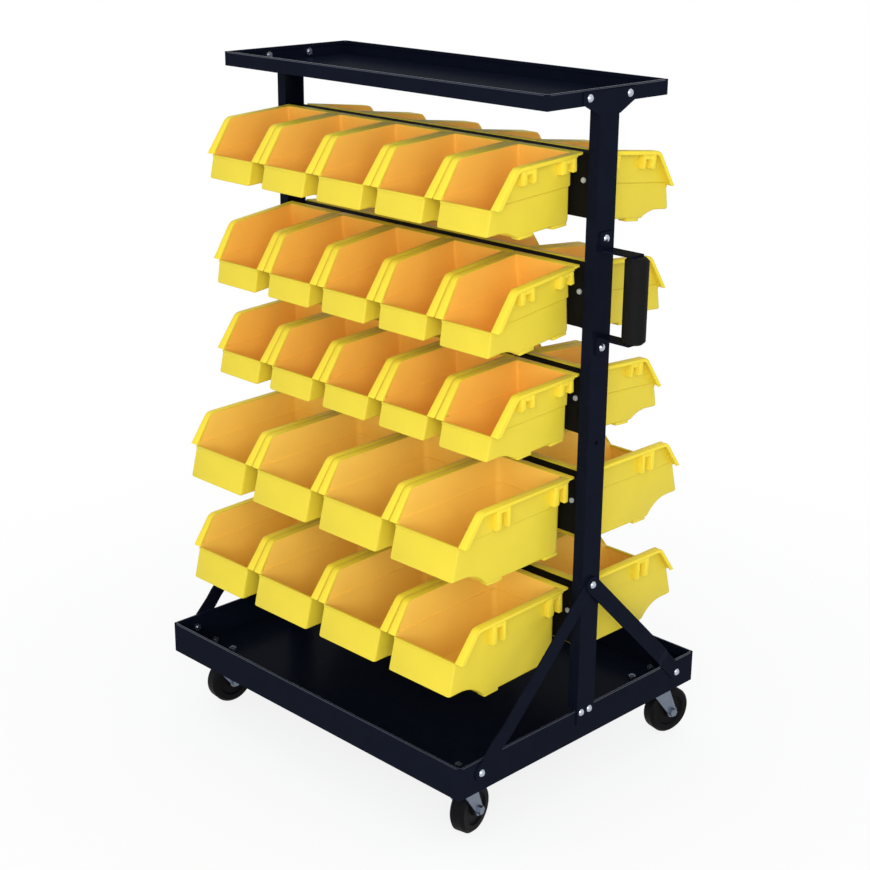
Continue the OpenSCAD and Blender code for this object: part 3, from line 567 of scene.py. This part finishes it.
def add_staple(bm, s, side, start):
    inner, outer = s["half_top"] - STAPLE_INTO_WALL, s["width"] / 2 - STAPLE_SETBACK
    low = -HOOK_THICK - s["rib"]
    wide_start = start + STAPLE_LENGTH - WIDE_PRONG
    for y, thick in ((start, NARROW_PRONG), (wide_start, WIDE_PRONG)):
        add_prism(bm, [[(side * inner, at, STAPLE_TOP), (side * outer, at, STAPLE_TOP),
                        (side * outer, at, low + PRONG_DROP),
                        (side * (outer - PRONG_TAPER), at, low), (side * inner, at, low)]
                       for at in (y, y + thick)], STAPLE_SOFT)
    x = sorted((side * inner, side * (outer - BRIDGE_SETBACK)))
    add_block(bm, (x[0], start + BRIDGE_FROM, BRIDGE_LOW), (x[1], start + BRIDGE_TO, STAPLE_TOP), STAPLE_SOFT)


# %% Hook, bead and feet
LIP_LENGTH, LIP_THICK, LIP_INSET = 26.0, 2.0, 0.05
HOOK_PROUD, HOOK_SOFT, LIP_SOFT = 0.03, 1.2, 0.6
BEAD_END, BEAD_IN, BEAD_OUT, BEAD_LOW, BEAD_HIGH = 0.6, 0.3, 1.4, 3.0, 0.4
FOOT_LENGTH, FOOT_WIDTH, FOOT_FROM_WALL, FOOT_SOFT = 28.0, 14.0, 4.0, 0.8


def add_hook(bm, s):
    half, low = s["width"] / 2, s["half_low"]
    add_block(bm, (-half, HOOK_BACK, -HOOK_THICK), (half, BIN_BACK + WALL, HOOK_PROUD), HOOK_SOFT)
    add_block(bm, (-low, HOOK_BACK + LIP_INSET, -LIP_LENGTH),
              (low, HOOK_BACK + LIP_THICK, -HOOK_THICK + RUN_IN), LIP_SOFT)


def add_bead(bm, s):
    half, front, top = s["half_low"] - BEAD_END, s["front"], -s["front_top"]
    add_block(bm, (-half, front - WALL - BEAD_IN, top - BEAD_LOW),
              (half, front + BEAD_OUT, top + BEAD_HIGH), LIP_SOFT, OUTSIDE)


def add_feet(bm, s, side):
    edge = s["half_low"] - DRAFT - RUN_IN
    x = sorted((side * edge, side * (edge - FOOT_WIDTH)))
    for y in (s["arch"] - s["arch_half"] - FOOT_LENGTH, BIN_BACK + 2 * DRAFT + STEP + FOOT_FROM_WALL):
        add_block(bm, (x[0], y, -s["height"]),
                  (x[1], y + FOOT_LENGTH, s["floor"] + RUN_IN), FOOT_SOFT, OUTSIDE)


# %% [markdown]
# ## One mesh for each size
# All bins of a size come from one mould, so they share one mesh here too. It
# is built once with bmesh, shaded smooth, and its edges that turn by more
# than 32 degrees are marked sharp, so that flat walls stay flat to the eye.

# %% Build the two meshes
STAPLE_FROM_BACK, RIB_PLACE, RIB_FROM_SLOPE = 2.5, 0.68, 1.5
CRISP_TURN = math.radians(32)


def bin_mesh(name, b, inside):
    s = bin_sizes(b)
    bm = bmesh.new()
    add_shell(bm, s)
    add_hook(bm, s)
    add_bead(bm, s)
    staple_front = min(RIB_PLACE * s["reach"], s["slope"] - RIB_FROM_SLOPE)
    for side in (-1, 1):
        add_side_rim(bm, s, side)
        add_staple(bm, s, side, BIN_BACK + STAPLE_FROM_BACK)
        add_staple(bm, s, side, staple_front - STAPLE_LENGTH)
        add_feet(bm, s, side)
    for f in bm.faces:
        f.smooth = True
    mesh = bpy.data.meshes.new(name)
    bm.to_mesh(mesh)
    bm.free()
    mesh.set_sharp_from_angle(angle=CRISP_TURN)
    for tone in (bin_plastic, inside, bin_rim_painted_light):
        mesh.materials.append(tone)
    print(name, "faces", len(mesh.polygons))
    return mesh


small_mesh = bin_mesh("small_bin_mesh", SMALL, small_inside_painted_bounce)
large_mesh = bin_mesh("large_bin_mesh", LARGE, large_inside_painted_bounce)

# %% [markdown]
# ## Hang the bins
# A bin's own matrix puts it on its rail and tilts it about the louvre it
# hangs on. The tilts, row by row, and the rows' small shifts to one side are
# those seen in the photo; the shift is read from the box of the row's solids.
# Each bin rides on the body of the solid it stands for.

# %% Place every bin on its body
COUNT = {1: 5, 2: 5, 3: 5, 4: 4, 5: 4}
LAST_SMALL_ROW = 3
GAP = 2.0
TILT = {"front": (3.5, 7.0, 3.0, 1.5, 2.0), "rear": (6.5, 5.0, 3.5, 0.0, 0.0)}
PIVOT_Y, PIVOT_Z = 6.4, -4.0


def hang(row, index, side):
    b, mesh = (SMALL, small_mesh) if row <= LAST_SMALL_ROW else (LARGE, large_mesh)
    node = f"front_bin_{row}_{index}" if side == "front" else f"rear_bins_row_{row}"
    low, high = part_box(node)
    x = (low[0] + high[0]) / 2 / MM
    if side == "rear":
        x += (index - (COUNT[row] + 1) / 2) * (b["width"] + GAP)
    y = middle_y + (RAIL_HALF if side == "rear" else -RAIL_HALF)
    turn = Matrix.Rotation(math.pi if side == "front" else 0.0, 4, "Z")
    pivot = Matrix.Translation(Vector((0, PIVOT_Y, PIVOT_Z)) * MM)
    tilt = Matrix.Rotation(-math.radians(TILT[side][row - 1]), 4, "X")
    obj = bpy.data.objects.new(f"{side}_bin_{row}_{index}_moulding", mesh)
    bpy.context.collection.objects.link(obj)
    hung = Matrix.Translation(Vector((x, y, rim_height[row])) * MM)
    obj.matrix_world = hung @ turn @ pivot @ tilt @ pivot.inverted()
    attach(obj, node)
    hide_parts(node)
    return obj


bins = [hang(row, k, side) for side in TILT for row in COUNT for k in range(1, COUNT[row] + 1)]
print("bins hung", len(bins))

# %% [markdown]
# ## A white floor that keeps the shadow
# The trolley stands on white paper. A white surface under soft light would
# render grey, and more light would wash out the yellow. So the paper is a
# mix: for rays from the camera and from mirrors it glows white, and a share
# of plain diffuse paper near the trolley keeps its shadow.

# %% A switch between what is seen and what lights
def seen_or_mirrored(tree):
    rays = tree.nodes.new("ShaderNodeLightPath")
    total = rays.outputs["Is Camera Ray"]
    for kind in ("Is Glossy Ray", "Is Transmission Ray"):
        either = tree.nodes.new("ShaderNodeMath")
        either.operation = "MAXIMUM"
        tree.links.new(total, either.inputs[0])
        tree.links.new(rays.outputs[kind], either.inputs[1])
        total = either.outputs["Value"]
    return total


# %% The paper's glow, less near the trolley
SHADOW_NEAR, SHADOW_FAR = 0.3, 1.5
GLOW_NEAR, GLOW_FAR = 0.84, 1.0


def glow_share(tree):
    place = tree.nodes.new("ShaderNodeTexCoord")
    away = tree.nodes.new("ShaderNodeVectorMath")
    away.operation = "LENGTH"
    tree.links.new(place.outputs["Object"], away.inputs[0])
    fade = tree.nodes.new("ShaderNodeMapRange")
    fade.interpolation_type = "SMOOTHSTEP"
    fade.inputs["From Min"].default_value = SHADOW_NEAR
    fade.inputs["From Max"].default_value = SHADOW_FAR
    fade.inputs["To Min"].default_value = GLOW_NEAR
    fade.inputs["To Max"].default_value = GLOW_FAR
    tree.links.new(away.outputs["Value"], fade.inputs["Value"])
    share = tree.nodes.new("ShaderNodeMath")
    share.operation = "MULTIPLY"
    tree.links.new(fade.outputs["Result"], share.inputs[0])
    tree.links.new(seen_or_mirrored(tree), share.inputs[1])
    return share.outputs["Value"]


# %% Floor
FLOOR_HALF, FLOOR_DROP = 30.0, 0.0005


def floor_paper():
    mat = bpy.data.materials.new("floor_paper")
    mat.use_nodes = True
    tree = mat.node_tree
    tree.nodes.clear()
    paper = tree.nodes.new("ShaderNodeBsdfDiffuse")
    paper.inputs["Color"].default_value = (0.85, 0.85, 0.85, 1)
    white = tree.nodes.new("ShaderNodeEmission")
    mix = tree.nodes.new("ShaderNodeMixShader")
    out = tree.nodes.new("ShaderNodeOutputMaterial")
    tree.links.new(glow_share(tree), mix.inputs["Fac"])
    tree.links.new(paper.outputs["BSDF"], mix.inputs[1])
    tree.links.new(white.outputs["Emission"], mix.inputs[2])
    tree.links.new(mix.outputs["Shader"], out.inputs["Surface"])
    return mat


floor_mesh = bpy.data.meshes.new("floor")
bm = bmesh.new()
bmesh.ops.create_grid(bm, x_segments=1, y_segments=1, size=FLOOR_HALF)
bm.to_mesh(floor_mesh)
bm.free()
floor = bpy.data.objects.new("floor", floor_mesh)
floor.location.z = -FLOOR_DROP
bpy.context.collection.objects.link(floor)
floor_mesh.materials.append(floor_paper())
print("floor", [round(v, 1) for v in floor.dimensions])

# %% [markdown]
# ## Soft light
# In the photo the light is even, a little stronger from the handle's end. A
# pale world lights every side alike, and three broad area lamps give the
# forms their shading. One small lamp would draw hard shadows between bins.

# %% The world
FILL_COLOUR, FILL_STRENGTH = (0.92, 0.96, 1.0, 1), 0.76
world = bpy.data.worlds.new("studio")
world.use_nodes = True
bpy.context.scene.world = world
tree = world.node_tree
tree.nodes.clear()
seen = tree.nodes.new("ShaderNodeBackground")
seen.inputs["Color"].default_value = (1, 1, 1, 1)
seen.inputs["Strength"].default_value = 1.0
fill = tree.nodes.new("ShaderNodeBackground")
fill.inputs["Color"].default_value = FILL_COLOUR
fill.inputs["Strength"].default_value = FILL_STRENGTH
mix = tree.nodes.new("ShaderNodeMixShader")
out = tree.nodes.new("ShaderNodeOutputWorld")
tree.links.new(seen_or_mirrored(tree), mix.inputs["Fac"])
tree.links.new(fill.outputs["Background"], mix.inputs[1])
tree.links.new(seen.outputs["Background"], mix.inputs[2])
tree.links.new(mix.outputs["Shader"], out.inputs["Surface"])
print("world fill", FILL_STRENGTH)


# %% The lamps
def lamp(name, place, aim, size, power):
    data = bpy.data.lights.new(name, "AREA")
    data.shape = "RECTANGLE"
    data.size, data.size_y = size
    data.energy = power
    obj = bpy.data.objects.new(name, data)
    bpy.context.collection.objects.link(obj)
    obj.location = place
    obj.rotation_euler = (Vector(aim) - Vector(place)).to_track_quat("-Z", "Y").to_euler()
    return obj


lamps = [lamp("key", (2.65, -2.7, 1.8), (0, 0, 0.5), (2.4, 2.0), 90),
         lamp("left", (-2.2, -3.2, 2.2), (0, 0, 0.6), (3.0, 2.0), 7),
         lamp("top", (0.3, -0.2, 3.6), (0, 0, 0.5), (4.0, 4.0), 15)]
print("lamps", [obj.name for obj in lamps])

# %% [markdown]
# ## Camera
# The camera's place and lens were solved from the corners of the two trays
# in the photo. Turning a camera by hand never gets all the corners at once,
# so its axes are worked out from the azimuth, the elevation and a slight
# roll, and written into its matrix.

# %% Camera from the solved view
AZ, EL, ROLL = math.radians(45.01), math.radians(19.06), math.radians(0.49)
DIST, SHIFT_X, SHIFT_Y = 2543.0, 5.0, -103.0
TARGET_Z = 596.0
SENSOR, FOCAL_PX, PICTURE_PX = 36.0, 1681.7, 870
forward = Vector((-math.sin(AZ) * math.cos(EL), math.cos(AZ) * math.cos(EL), -math.sin(EL)))
right = Vector((math.cos(AZ), math.sin(AZ), 0))
up = right.cross(forward)
right, up = (math.cos(ROLL) * right + math.sin(ROLL) * up, math.cos(ROLL) * up - math.sin(ROLL) * right)
target = Vector((middle_x, middle_y, TARGET_Z))
eye = (target + SHIFT_X * right + SHIFT_Y * up - DIST * forward) * MM
camera_data = bpy.data.cameras.new("camera")
camera_data.sensor_width = SENSOR
camera_data.lens = SENSOR * FOCAL_PX / PICTURE_PX
camera = bpy.data.objects.new("camera", camera_data)
bpy.context.collection.objects.link(camera)
camera.matrix_world = Matrix((
    (right.x, up.x, -forward.x, eye.x),
    (right.y, up.y, -forward.y, eye.y),
    (right.z, up.z, -forward.z, eye.z),
    (0, 0, 0, 1)))
bpy.context.scene.camera = camera
bpy.context.scene.view_settings.view_transform = "Standard"
print("lens", round(camera_data.lens, 1), "mm, camera at", [round(v, 2) for v in eye])
